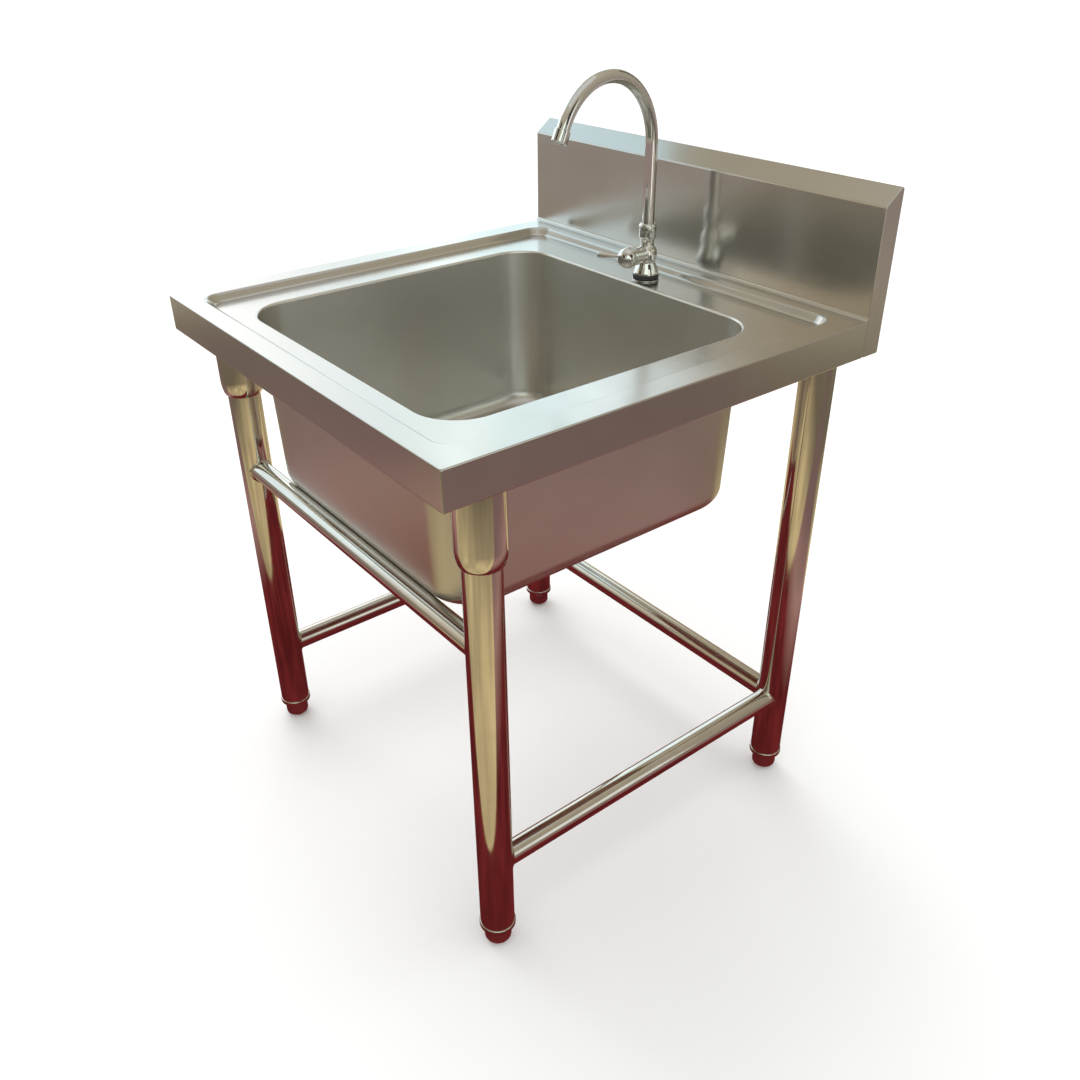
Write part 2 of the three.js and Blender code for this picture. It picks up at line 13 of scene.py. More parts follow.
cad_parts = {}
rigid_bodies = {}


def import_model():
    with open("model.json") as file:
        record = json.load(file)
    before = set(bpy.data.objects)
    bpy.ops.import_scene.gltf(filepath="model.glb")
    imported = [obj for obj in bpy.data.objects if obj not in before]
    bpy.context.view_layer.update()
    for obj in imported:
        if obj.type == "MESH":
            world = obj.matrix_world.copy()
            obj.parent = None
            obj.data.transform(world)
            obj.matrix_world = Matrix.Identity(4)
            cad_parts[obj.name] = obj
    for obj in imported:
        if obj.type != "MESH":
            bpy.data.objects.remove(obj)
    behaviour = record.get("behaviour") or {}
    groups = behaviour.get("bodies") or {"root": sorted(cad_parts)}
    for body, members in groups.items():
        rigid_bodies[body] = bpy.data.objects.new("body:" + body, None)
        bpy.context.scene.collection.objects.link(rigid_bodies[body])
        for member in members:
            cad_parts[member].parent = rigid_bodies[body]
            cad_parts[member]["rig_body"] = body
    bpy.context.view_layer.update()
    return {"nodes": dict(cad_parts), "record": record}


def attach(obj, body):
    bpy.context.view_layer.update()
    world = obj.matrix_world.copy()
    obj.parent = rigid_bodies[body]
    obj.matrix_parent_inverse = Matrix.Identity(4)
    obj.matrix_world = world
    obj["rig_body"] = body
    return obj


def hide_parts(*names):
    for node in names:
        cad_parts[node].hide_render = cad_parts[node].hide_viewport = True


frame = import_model()

MM = 0.001
SLOTS = {part["node"]: part["material_slot"] for part in frame["record"]["subparts"]}
SIDES = 96  # faces round a turned piece
TINY = 1e-6  # millimetres: less than this is no distance
MERGE = 1e-7  # metres: vertices closer than this become one
NEARLY_STRAIGHT = math.pi / 2 - 0.01  # half of a corner's angle that needs no arc
ARC_SHARE = 0.49  # the most of each neighbouring side that an arc takes up
PAINTED_SHADE_KEEPS = 0.86  # how much of its brightness the steel keeps where shade is painted low in the bowl


# ---- Camera ----

EYE = Vector((1.0992, -0.8132, 1.2312))
YAW = math.radians(52.07)
PITCH = math.radians(31.21)
ROLL = math.radians(-0.55)
LENS = 34.03


def add_camera():
    forward = Vector(
        (-math.sin(YAW) * math.cos(PITCH), math.cos(YAW) * math.cos(PITCH), -math.sin(PITCH))
    )
    level = Vector((math.cos(YAW), math.sin(YAW), 0.0))
    upright = level.cross(forward)
    right = level * math.cos(ROLL) + upright * math.sin(ROLL)
    up = upright * math.cos(ROLL) - level * math.sin(ROLL)
    camera = bpy.data.objects.new("camera", bpy.data.cameras.new("camera"))
    bpy.context.scene.collection.objects.link(camera)
    turn = Matrix((right, up, -forward)).transposed().to_4x4()
    camera.matrix_world = Matrix.Translation(EYE) @ turn
    camera.data.lens = LENS
    camera.data.sensor_width = 36.0
    bpy.context.scene.camera = camera


# ---- Node materials ----


def colour_socket(sockets, name):
    """A Mix node has one socket of each name for every data type; this is the colour one."""
    return next(socket for socket in sockets if socket.name == name and socket.type == "RGBA")


class Finish:
    """A Principled material under construction: small helpers that add and join nodes."""

    def __init__(self, name, metallic, roughness, colour):
        self.material = bpy.data.materials.new(name)
        self.material.use_nodes = True
        self.tree = self.material.node_tree
        self.shader = self.tree.nodes["Principled BSDF"]
        self.shader.inputs["Metallic"].default_value = metallic
        self.shader.inputs["Roughness"].default_value = roughness
        self.shader.inputs["Base Color"].default_value = (*colour, 1.0)
        self.coordinates = self.node("ShaderNodeTexCoord").outputs["Object"]

    def node(self, kind, **settings):
        made = self.tree.nodes.new(kind)
        for key, value in settings.items():
            setattr(made, key, value)
        return made

    def link(self, start, end):
        self.tree.links.new(start, end)

    def noise(self, scale, stretch=(1, 1, 1), detail=3.0, roughness=0.5, distortion=0.0):
        mapping = self.node("ShaderNodeMapping")
        mapping.inputs["Scale"].default_value = stretch
        self.link(self.coordinates, mapping.inputs["Vector"])
        texture = self.node("ShaderNodeTexNoise")
        texture.inputs["Scale"].default_value = scale
        texture.inputs["Detail"].default_value = detail
        texture.inputs["Roughness"].default_value = roughness
        texture.inputs["Distortion"].default_value = distortion
        self.link(mapping.outputs["Vector"], texture.inputs["Vector"])
        return texture.outputs["Fac"]

    def spread(self, value, low, high, start=0.3, end=0.7):
        """Maps a value between start and end onto low to high."""
        made = self.node("ShaderNodeMapRange")
        made.inputs["From Min"].default_value = start
        made.inputs["From Max"].default_value = end
        made.inputs["To Min"].default_value = low
        made.inputs["To Max"].default_value = high
        self.link(value, made.inputs["Value"])
        return made.outputs["Result"]

    def math(self, operation, first, second):
        made = self.node("ShaderNodeMath", operation=operation)
        for value, socket in zip((first, second), made.inputs):
            if isinstance(value, (int, float)):
                socket.default_value = value
            else:
                self.link(value, socket)
        return made.outputs["Value"]

    def blend(self, factor, first, second):
        """A colour between two colours, or between a colour made so far and a fixed one."""
        made = self.node("ShaderNodeMix", data_type="RGBA")
        self.link(factor, made.inputs["Factor"])
        for value, name in ((first, "A"), (second, "B")):
            socket = colour_socket(made.inputs, name)
            if isinstance(value, tuple):
                socket.default_value = (*value, 1.0)
            else:
                self.link(value, socket)
        return colour_socket(made.outputs, "Result")

    def bump(self, *layers):
        """Stacks height layers, each (value, height in metres)."""
        normal = None
        for value, height in layers:
            made = self.node("ShaderNodeBump")
            made.inputs["Strength"].default_value = 1.0
            made.inputs["Distance"].default_value = height
            self.link(value, made.inputs["Height"])
            if normal:
                self.link(normal, made.inputs["Normal"])
            normal = made.outputs["Normal"]
        self.link(normal, self.shader.inputs["Normal"])

    def surface(self, colour=None, roughness=None):
        if colour is not None:
            self.link(colour, self.shader.inputs["Base Color"])
        if roughness is not None:
            self.link(roughness, self.shader.inputs["Roughness"])


def satin_steel(name, grain, tone=1.0, rough=0.27, uneven=0.03, smear=None, painted_shade_heights=None):
    """Brushed stainless sheet whose brush lines run along the given axis: "X", "Y" or "Z".

    Brushing blurs reflections across the lines; smear is the (x, y, z) direction of that blur.
    A pair of heights in metres, the last argument, paints shade: the sheet is painted darker towards
    the lower one.
    """
    light = (0.70 * tone, 0.69 * tone, 0.665 * tone)
    dark = (0.63 * tone, 0.617 * tone, 0.59 * tone)
    finish = Finish(name, 1.0, rough, light)
    across = 26.0
    stretch = tuple(1.0 if axis == grain else across for axis in "XYZ")
    lines = finish.noise(34.0, stretch, detail=5.0, roughness=0.62)
    streaks = finish.noise(4.0, tuple(0.6 if axis == grain else 5.0 for axis in "XYZ"), detail=4.0)
    clouds = finish.noise(3.2, detail=4.0, distortion=0.6)
    smudges = finish.noise(9.0, detail=3.0, roughness=0.5, distortion=1.2)
    colour = finish.blend(finish.spread(clouds, 0.0, 1.0), light, dark)
    colour = finish.blend(finish.spread(lines, 0.0, 0.2), colour, dark)
    # Painted shade: the base colour darkens from the upper height down to the lower one, standing in
    # for shade deep in the bowl.
    if painted_shade_heights:
        height = finish.node("ShaderNodeSeparateXYZ")
        finish.link(finish.coordinates, height.inputs["Vector"])
        painted_shade_amount = finish.spread(height.outputs["Z"], 1.0, 0.0, *painted_shade_heights)
        colour = finish.blend(painted_shade_amount, colour, tuple(PAINTED_SHADE_KEEPS * part for part in dark))
    value = finish.spread(streaks, rough - uneven, rough + uneven)
    value = finish.math("ADD", value, finish.spread(lines, -0.008, 0.008))
    value = finish.math("ADD", value, finish.spread(smudges, -0.3 * uneven, uneven, 0.45, 0.75))
    waves = finish.noise(2.6, detail=1.0)
    finish.bump((waves, 1.2 * MM), (lines, 0.0008 * MM))
    finish.surface(colour, value)
    if smear:
        across_lines = finish.node("ShaderNodeCombineXYZ")
        for socket, part in zip(across_lines.inputs, smear):
            socket.default_value = part
        finish.link(across_lines.outputs["Vector"], finish.shader.inputs["Tangent"])
        finish.shader.inputs["Anisotropic"].default_value = 0.85
    return finish.material


def polished_steel(name, grain):
    """Buffed stainless tube: a mirror with faint draw lines and a few dull patches."""
    light = (0.74, 0.715, 0.67)
    dark = (0.64, 0.61, 0.56)
    finish = Finish(name, 1.0, 0.08, light)
    stretch = tuple(1.0 if axis == grain else 30.0 for axis in "XYZ")
    lines = finish.noise(18.0, stretch, detail=4.0)
    patches = finish.noise(11.0, detail=4.0, distortion=0.8)
    colour = finish.blend(finish.spread(patches, 0.0, 1.0), light, dark)
    rough = finish.math("ADD", finish.spread(patches, 0.05, 0.12), finish.spread(lines, 0.0, 0.03))
    finish.bump((lines, 0.004 * MM))
    finish.surface(colour, rough)
    return finish.material


def chrome_plate(name):
    """Bright plated brass with a slight cast ripple and faint water marks."""
    light = (0.80, 0.80, 0.79)
    dark = (0.68, 0.67, 0.65)
    finish = Finish(name, 1.0, 0.05, light)
    ripple = finish.noise(120.0, detail=2.0)
    marks = finish.noise(220.0, detail=5.0, roughness=0.6)
    colour = finish.blend(finish.spread(marks, 0.0, 0.7, 0.5, 0.8), light, dark)
    rough = finish.spread(marks, 0.03, 0.13, 0.45, 0.8)
    finish.bump((ripple, 0.03 * MM))
    finish.surface(colour, rough)
    return finish.material


def weld_metal(name):
    """Buffed weld bead: bright and lumpy, with a trace of straw heat tint."""
    light = (0.70, 0.67, 0.61)
    straw = (0.46, 0.38, 0.26)
    finish = Finish(name, 1.0, 0.2, light)
    lumps = finish.noise(300.0, detail=3.0)
    colour = finish.blend(finish.spread(lumps, 0.0, 0.8), light, straw)
    finish.bump((lumps, 0.15 * MM))
    finish.surface(colour, finish.spread(lumps, 0.12, 0.32))
    return finish.material


def plated_fixing(name):
    """Turned and plated steel of nuts, screws and stems."""
    light = (0.58, 0.58, 0.56)
    dark = (0.38, 0.37, 0.35)
    finish = Finish(name, 1.0, 0.3, light)
    spots = finish.noise(160.0, detail=5.0, roughness=0.65)
    finish.bump((finish.noise(500.0), 0.02 * MM))
    finish.surface(
        finish.blend(finish.spread(spots, 0.0, 1.0), light, dark), finish.spread(spots, 0.22, 0.42)
    )
    return finish.material


def black_rubber(name):
    light = (0.045, 0.045, 0.047)
    dark = (0.018, 0.018, 0.019)
    finish = Finish(name, 0.0, 0.7, light)
    grain = finish.noise(900.0, detail=4.0)
    dust = finish.noise(60.0, detail=4.0)
    finish.bump((grain, 0.05 * MM))
    finish.surface(
        finish.blend(finish.spread(dust, 0.0, 1.0), dark, light), finish.spread(grain, 0.6, 0.8)
    )
    return finish.material


def pale_plastic(name):
    light = (0.74, 0.74, 0.71)
    dark = (0.60, 0.60, 0.56)
    finish = Finish(name, 0.0, 0.45, light)
    grain = finish.noise(700.0, detail=3.0)
    shade = finish.noise(40.0, detail=3.0)
    finish.bump((grain, 0.02 * MM))
    finish.surface(
        finish.blend(finish.spread(shade, 0.0, 1.0), light, dark), finish.spread(grain, 0.38, 0.52)
    )
    return finish.material


deck_steel = satin_steel("deck_steel", "X", rough=0.2, uneven=0.02)
side_steel = satin_steel("side_steel", "Y", rough=0.22, uneven=0.02)
end_steel = satin_steel("end_steel", "Z")
foot_steel = satin_steel("foot_steel", "Z", rough=0.2)
splash_steel = satin_steel("splash_steel", "X", rough=0.17, uneven=0.015, smear=(0, 0, 1))
# Painted light: the inside of the bowl gets a brighter tone (1.28) than the same steel outside (1.08),
# standing in for light bounced about the bowl; the pair of heights adds painted shade towards the
# floor.
bowl_steel = satin_steel("bowl_steel", "Z", tone=1.28, rough=0.31, uneven=0.015, painted_shade_heights=(0.515, 0.6))
bowl_outer_steel = satin_steel("bowl_outer_steel", "Z", tone=1.08, rough=0.35, uneven=0.02)
upright_tube = polished_steel("upright_tube", "Z")
cross_tube = polished_steel("cross_tube", "X")
side_tube = polished_steel("side_tube", "Y")
chrome = chrome_plate("chrome")
weld = weld_metal("weld")
fixing = plated_fixing("fixing")
rubber = black_rubber("rubber")
plastic = pale_plastic("plastic")


# ---- Mesh helpers ----


def filleted(points, steps=6):
    """An outline in the plane, or a path in space, whose corners with a radius become arcs.

    Points are (u, v[, radius]) or (x, y, z, radius); corners without a radius stay sharp.
    """
    size = 3 if len(points[0]) == 4 else 2
    places = [Vector(point[:size]) for point in points]
    made = []
    for i, point in enumerate(points):
        here = places[i]
        radius = point[size] if len(point) > size else 0.0
        if radius <= 0.0 or i in (0, len(points) - 1):
            made.append(here)
            continue
        back = places[i - 1] - here
        ahead = places[i + 1] - here
        half = back.angle(ahead) / 2 if back.length * ahead.length > 0 else math.pi / 2
        if half > NEARLY_STRAIGHT:
            made.extend([here] * (steps + 1))
            continue
        reach = min(radius / math.tan(half), ARC_SHARE * back.length, ARC_SHARE * ahead.length)
        start = back.normalized() * reach
        end = ahead.normalized() * reach
        centre = (start + end).normalized() * (reach / math.cos(half))
        sweep = math.pi - 2 * half
        for k in range(steps + 1):
            t = k / steps
            first = math.sin((1 - t) * sweep) / math.sin(sweep)
            last = math.sin(t * sweep) / math.sin(sweep)
            made.append(here + centre + (start - centre) * first + (end - centre) * last)
    return made


def finish_piece(name, mesh, material, node, sharp=32.0):
    """Puts a mesh in the scene as the piece that stands for a CAD node."""
    piece = bpy.data.objects.new(name, mesh)
    bpy.context.scene.collection.objects.link(piece)
    mesh.shade_smooth()
    mesh.set_sharp_from_angle(angle=math.radians(sharp))
    mesh.materials.append(material)
    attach(piece, frame["nodes"][node]["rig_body"])
    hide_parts(node)
    steady = piece.modifiers.new("flat_faces_shade_flat", "WEIGHTED_NORMAL")
    steady.keep_sharp = True
    steady.weight = 100
    return piece


def to_mesh(name, shape):
    bmesh.ops.remove_doubles(shape, verts=shape.verts, dist=MERGE)
    bmesh.ops.recalc_face_normals(shape, faces=shape.faces)
    mesh = bpy.data.meshes.new(name)
    shape.to_mesh(mesh)
    shape.free()
    return mesh


def bridge(shape, rings, closed=False):
    """Joins each ring of vertices to the next, and with `closed` the last one to the first."""
    for first, second in zip(rings, rings[1:] + (rings[:1] if closed else [])):
        for i in range(len(first)):
            j = (i + 1) % len(first)
            corners = list(dict.fromkeys([first[i], first[j], second[j], second[i]]))
            if len(corners) > 2:
                shape.faces.new(corners)


def add_ring(shape, place, spot, sides=SIDES):
    """A ring of vertices; spot(angle) gives each one as (x, y, z) in millimetres."""
    angles = [2 * math.pi * k / sides for k in range(sides)]
    return [shape.verts.new(place @ (Vector(spot(angle)) * MM)) for angle in angles]


def add_circle(shape, place, radius, height):
    return add_ring(
        shape, place, lambda angle: (radius * math.cos(angle), radius * math.sin(angle), height)
    )


def revolve(shape, profile, place):
    """Adds a turned body: the profile lists (radius, height) about the local Z axis."""
    closed = (profile[0] - profile[-1]).length < TINY
    rings = []
    for radius, height in profile[:-1] if closed else profile:
        if radius < TINY:
            rings.append([shape.verts.new(place @ (Vector((0, 0, height)) * MM))] * SIDES)
        else:
            rings.append(add_circle(shape, place, radius, height))
    bridge(shape, rings, closed)


def turned(node, points, material, place, steps):
    """The piece of a turned node, from its outline of (radius, height[, corner radius])."""
    shape = bmesh.new()
    revolve(shape, filleted(points, steps), place)
    finish_piece(f"{node}_turned", to_mesh(node, shape), material, node)


def rounded_loop(half_x, front, back, radius, z, corner_steps=14):
    """Points round a rounded rectangle, anticlockwise from its right-hand back corner."""
    points = []
    corners = ((1, back, 0), (-1, back, 1), (-1, front, 2), (1, front, 3))
    for side, y, quarter in corners:
        centre_x = side * (half_x - radius)
        centre_y = y - radius if y == back else y + radius
        for k in range(corner_steps + 1):
            angle = math.pi / 2 * (quarter + k / corner_steps)
            points.append(
                Vector((centre_x + radius * math.cos(angle), centre_y + radius * math.sin(angle), z))
            )
    return points


def cap_off(shape, rings):
    """Closes the first and the last ring of a loft."""
    for ring in (rings[0], rings[-1]):
        shape.faces.new(list(dict.fromkeys(ring)))


def capped_loft(name, loops):
    """A mesh through loops of points in metres, closed at both ends."""
    shape = bmesh.new()
    rings = [[shape.verts.new(point) for point in loop] for loop in loops]
    bridge(shape, rings)
    cap_off(shape, rings)
    return to_mesh(name, shape)


def sheet_mesh(name, keys, steps):
    """A closed skin through rounded rectangles: keys are (rectangle, height, edge radius)."""
    columns = zip(*[rounded_loop(*outline, z) for outline, z, _ in keys])
    rails = [
        filleted([(*point, radius) for point, (_, _, radius) in zip(column, keys)], steps)
        for column in columns
    ]
    shape = bmesh.new()
    rings = [[shape.verts.new(point * MM) for point in ring] for ring in zip(*rails)]
    bridge(shape, rings, closed=True)
    return to_mesh(name, shape)


# ---- Sizes shared with the frame, in millimetres ----

HALF = 350.0
DECK_TOP = 780.0
FIELD_TOP = 769.0
APRON_BOTTOM = 730.0
SPLASH_FACE = 318.0
SPLASH_SLOPE = 24.0
SPLASH_TOP = 950.0
SPLASH_EDGE = 3.5
SHEET = 1.5
HEM = 7.5
LEG_X = 310.0
LEG_Y = 280.0
LEG_RADIUS = 24.0
LEG_TOP = 740.4
LEG_GAP = 0.3
SOCKET_RADIUS = 31.0
SOCKET_TOP = 745.4
SOCKET_LIP = 626.0
SLEEVE_LIP = 731.8
RAIL_RADIUS = 16.0
BOWL_CENTRE = -31.0
BOWL_FLOOR = 506.0
BOWL_MOUTH = (260, BOWL_CENTRE - 258, BOWL_CENTRE + 258, 66)
TAP_Y = 250.0
VALVE_Z = 807.5


def place_at(x=0.0, y=0.0, z=0.0):
    return Matrix.Translation(Vector((x, y, z)) * MM)


# ---- Deck ----


def deck():
    """Apron hem, apron, folded rim, pressed step, sunk field: the sheet's outside, then its inside."""
    rear = SPLASH_FACE - 0.3
    rim = DECK_TOP - SHEET
    under = FIELD_TOP - SHEET
    whole = (HALF, -HALF, rear)
    step_top = (314, -321, 294)
    step_foot = (306, -309, 286)

    def grown(sides, gap, radius):
        half_x, front, back = sides
        return (half_x + gap, front - gap, back + gap, radius)

    keys = [
        (grown(whole, -HEM, 0), APRON_BOTTOM, 0),
        (grown(whole, 0, 1.6), APRON_BOTTOM, 2.2),
        (grown(whole, 0, 1.6), DECK_TOP, 2.2),
        (grown(step_top, 0, 29), DECK_TOP, 6),
        (grown(step_foot, 0, 21), FIELD_TOP, 6),
        (BOWL_MOUTH, FIELD_TOP, 0),
        (BOWL_MOUTH, under, 0),
        (grown(step_foot, SHEET, 22), under, 7.5),
        (grown(step_top, SHEET, 30), rim, 4.5),
        (grown(whole, -SHEET, 0.4), rim, 0.7),
        (grown(whole, -SHEET, 0.4), APRON_BOTTOM + SHEET, 0.8),
        (grown(whole, -HEM, 0), APRON_BOTTOM + SHEET, 0),
    ]
    finish_piece("deck_sheet", sheet_mesh("deck", keys, 7), deck_steel, "deck_top")


def bowl():
    """Drawn basin: rolled lip, drafted walls, round corners, flat floor with the drain's hole."""

    draft = 0.03

    def drafted(inset, z):
        squeeze = 1 - draft * (FIELD_TOP - z) / 254
        half_x = (254 - inset) * squeeze
        half_y = (252 - inset) * squeeze
        return (half_x, BOWL_CENTRE - half_y, BOWL_CENTRE + half_y, (60 - inset) * squeeze)

    reach = 44.8
    hole = (reach, BOWL_CENTRE - reach, BOWL_CENTRE + reach, reach)
    wall = 1.2
    lip = 7
    keys = [
        (BOWL_MOUTH, FIELD_TOP, 0),
        (drafted(wall - 0.5, FIELD_TOP), FIELD_TOP, 5.5),
        (drafted(wall, BOWL_FLOOR + wall), BOWL_FLOOR + wall, 25),
        (hole, BOWL_FLOOR + wall, 0),
        (hole, BOWL_FLOOR, 0),
        (drafted(0, BOWL_FLOOR), BOWL_FLOOR, 26),
        (drafted(0, FIELD_TOP - lip), FIELD_TOP - lip, 2),
        (BOWL_MOUTH, FIELD_TOP - lip, 0),
    ]
    piece = finish_piece("bowl_basin", sheet_mesh("bowl", keys, 12), bowl_steel, "bowl")
    piece.data.materials.append(deck_steel)
    piece.data.materials.append(bowl_outer_steel)
    middle = Vector((0, BOWL_CENTRE, (FIELD_TOP + BOWL_FLOOR) / 2)) * MM
    for face in piece.data.polygons:
        if face.center.z > (FIELD_TOP - 0.1) * MM:
            face.material_index = 1
        elif face.normal.dot(face.center - middle) > 0:
            face.material_index = 2


# ---- Backsplash ----


def section_loop(outline, x):
    return [Vector((x, y, z)) * MM for y, z in outline]


def extruded(name, outline, reach, steps=24):
    """A section in (y, z) drawn along X from -reach to reach."""
    stations = [-reach + 2 * reach * i / steps for i in range(steps + 1)]
    return capped_loft(name, [section_loop(outline, x) for x in stations])


def splash_outline(inset):
    """The backsplash's side view, moved in by `inset`, with its corners rounded."""
    corners = [
        Vector((SPLASH_FACE, APRON_BOTTOM)),
        Vector((HALF, APRON_BOTTOM)),
        Vector((HALF, SPLASH_TOP)),
        Vector((SPLASH_FACE, SPLASH_TOP - SPLASH_SLOPE)),
    ]
    moved = []
    for i, corner in enumerate(corners):
        before = (corners[i - 1] - corner).normalized()
        after = (corners[(i + 1) % 4] - corner).normalized()
        half = before.angle(after) / 2
        moved.append(corner + (before + after).normalized() * (inset / math.sin(half)))
    start = (moved[0] + moved[3]) / 2
    rounded = [(*point, max(SPLASH_EDGE - inset, 0.3)) for point in moved]
    return filleted([start, *rounded, start], steps=6)[:-1]


def backsplash():
    """One folded sheet: face, rounded nose, sloping top, back and a short return under it."""
    face_top = SPLASH_TOP - SPLASH_SLOPE
    section = filleted(
        [
            (SPLASH_FACE, FIELD_TOP),
            (SPLASH_FACE, face_top, SPLASH_EDGE),
            (HALF, SPLASH_TOP, SPLASH_EDGE),
            (HALF, APRON_BOTTOM, 3.0),
            (HALF - 2 * HEM, APRON_BOTTOM),
            (HALF - 2 * HEM, APRON_BOTTOM + SHEET),
            (HALF - SHEET, APRON_BOTTOM + SHEET, 1.5),
            (HALF - SHEET, SPLASH_TOP - 1.5 * SHEET, 2.0),
            (SPLASH_FACE + SHEET, face_top - SHEET / 2, 2.0),
            (SPLASH_FACE + SHEET, FIELD_TOP),
        ],
        steps=7,
    )
    mesh = extruded("backsplash", section, HALF - SHEET)
    finish_piece("backsplash_sheet", mesh, splash_steel, "backsplash")


def backsplash_end(name, side):
    """A welded and ground end cap whose edge rolls over into the sheet."""
    node = f"backsplash_end_{name}"
    steps = 6
    loops = [section_loop(splash_outline(0), side * (HALF - SHEET))]
    for k in range(1, steps + 1):
        angle = math.pi / 2 * k / steps
        inset = SHEET * (1 - math.cos(angle))
        out = HALF - SHEET * (1 - math.sin(angle))
        loops.append(section_loop(splash_outline(inset), side * out))
    finish_piece(f"{node}_cap", capped_loft(node, loops), end_steel, node, sharp=50)


def foot_fillet():
    """The ground weld that carries the deck up into the backsplash; it stands for no CAD node."""
    radius = 6.0
    sink = 0.4
    steps = 8
    outline = []
    for k in range(steps + 1):
        angle = math.pi / 2 * k / steps
        y = SPLASH_FACE - radius + radius * math.sin(angle)
        outline.append((y, DECK_TOP + radius - radius * math.cos(angle)))
    outline.append((SPLASH_FACE + sink, DECK_TOP + radius))
    outline.append((SPLASH_FACE + sink, DECK_TOP - sink))
    outline.append((SPLASH_FACE - radius, DECK_TOP - sink))
    mesh = extruded("foot_weld", outline, HALF - sink)
    piece = bpy.data.objects.new("backsplash_foot_weld", mesh)
    bpy.context.scene.collection.objects.link(piece)
    mesh.shade_smooth()
    mesh.set_sharp_from_angle(angle=math.radians(40))
    mesh.materials.append(deck_steel)
    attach(piece, "sink")


# ---- Stand ----


def socket_shoulder(inner):
    """The socket's spun-in end: a quarter of an ellipse from its lower lip to its full width."""
    steps = 14
    rise = 25
    made = []
    for k in range(steps + 1):
        angle = math.pi / 2 * k / steps
        radius = inner + (SOCKET_RADIUS - inner) * math.sin(angle)
        made.append((radius, SOCKET_LIP + rise - rise * math.cos(angle)))
    return made


def leg_set(name, side, end):
    """A leg with its socket or sleeve, its flanged insert and its foot."""
    here = place_at(side * LEG_X, -LEG_Y if end == "front" else LEG_Y)
    bore = LEG_RADIUS + LEG_GAP
    ceiling = LEG_TOP + LEG_GAP
    if end == "front":
        node, steps = f"leg_socket_front_{name}", 8
        skirt = [(bore, SOCKET_LIP), *socket_shoulder(bore + 0.5)]
    else:
        node, steps = f"leg_sleeve_rear_{name}", 4
        skirt = [(bore, SLEEVE_LIP), (SOCKET_RADIUS, SLEEVE_LIP, 1)]
    cap = [(SOCKET_RADIUS, SOCKET_TOP), (0, SOCKET_TOP)]
    turned(node, [(0, ceiling), (bore, ceiling), *skirt, *cap], upright_tube, here, steps)
    inner = LEG_RADIUS - 1.4
    bottom = 38.3
    leg = [(inner, bottom), (LEG_RADIUS, bottom, 0.5), (LEG_RADIUS, LEG_TOP), (inner, LEG_TOP)]
    turned(f"leg_{end}_{name}", [*leg, (inner, bottom)], upright_tube, here, 3)
    flange = [(6.4, 30), (25.4, 30, 1.6), (25.4, 38, 1.6), (22.3, 38.2, 0.2)]
    insert = [*flange, (22.3, 78, 1), (6.4, 78), (6.4, 30)]
    turned(f"leg_insert_{end}_{name}", insert, upright_tube, here, 5)
    bullet = [(0, 0), (12, 0, 2), (19, 5.5, 6), (19, 26.5, 2.5), (15.5, 29.7, 1)]
    stem = [(6, 29.7, 0.3), (6, 64, 0.8), (5, 65, 0.3), (0, 65)]
    turned(f"foot_{end}_{name}", bullet + stem, foot_steel, here, 6)


def rail(node, centre, along_y, material):
    """A tube saddled onto two legs, ending in a small weld bead that lies on each leg."""
    half = LEG_Y if along_y else LEG_X
    bead = [(0.0, 3.6), (0.15, 2.5), (0.7, 1.5), (1.5, 0.8), (2.4, 0.35), (2.9, -0.3)]
    turn = Matrix.Rotation(math.pi / 2 if along_y else 0.0, 4, "Z")
    place = place_at(*centre) @ turn
    sides = 72
    shape = bmesh.new()

    def bead_ring(side, grow, stand_off):
        def spot(angle):
            lump = grow * (1 + 0.12 * math.sin(9 * angle) + 0.08 * math.sin(17 * angle + 1))
            radius = RAIL_RADIUS + lump
            across = radius * math.cos(angle)
            out = half - math.sqrt(LEG_RADIUS**2 - across**2) - stand_off
            return side * out, across, radius * math.sin(angle)

        return add_ring(shape, place, spot, sides)

    def tube_ring(x):
        def spot(angle):
            return x, RAIL_RADIUS * math.cos(angle), RAIL_RADIUS * math.sin(angle)

        return add_ring(shape, place, spot, sides)

    bands = 12
    straight = half - LEG_RADIUS - 8
    rings = [bead_ring(-1, grow, off) for grow, off in reversed(bead)]
    rings += [tube_ring(straight * (2 * i / bands - 1)) for i in range(1, bands)]
    rings += [bead_ring(1, grow, off) for grow, off in bead]
    bridge(shape, rings)
    cap_off(shape, rings)
    piece = finish_piece(f"{node}_tube", to_mesh(node, shape), material, node, sharp=60)
    piece.data.materials.append(weld)
    axis = 1 if along_y else 0
    for face in piece.data.polygons:
        if abs(face.center[axis] - centre[axis] * MM) > (half - LEG_RADIUS - 1.5) * MM:
            face.material_index = 1


def stand():
    for name, side in (("left", -1), ("right", 1)):
        for end in ("front", "rear"):
            leg_set(name, side, end)
        rail(f"rail_{name}", (side * LEG_X, 0, 150), True, side_tube)
    rail("rail_front", (0, -LEG_Y, 500), False, cross_tube)
    rail("rail_rear", (0, LEG_Y, 150), False, cross_tube)


# ---- Drain ----


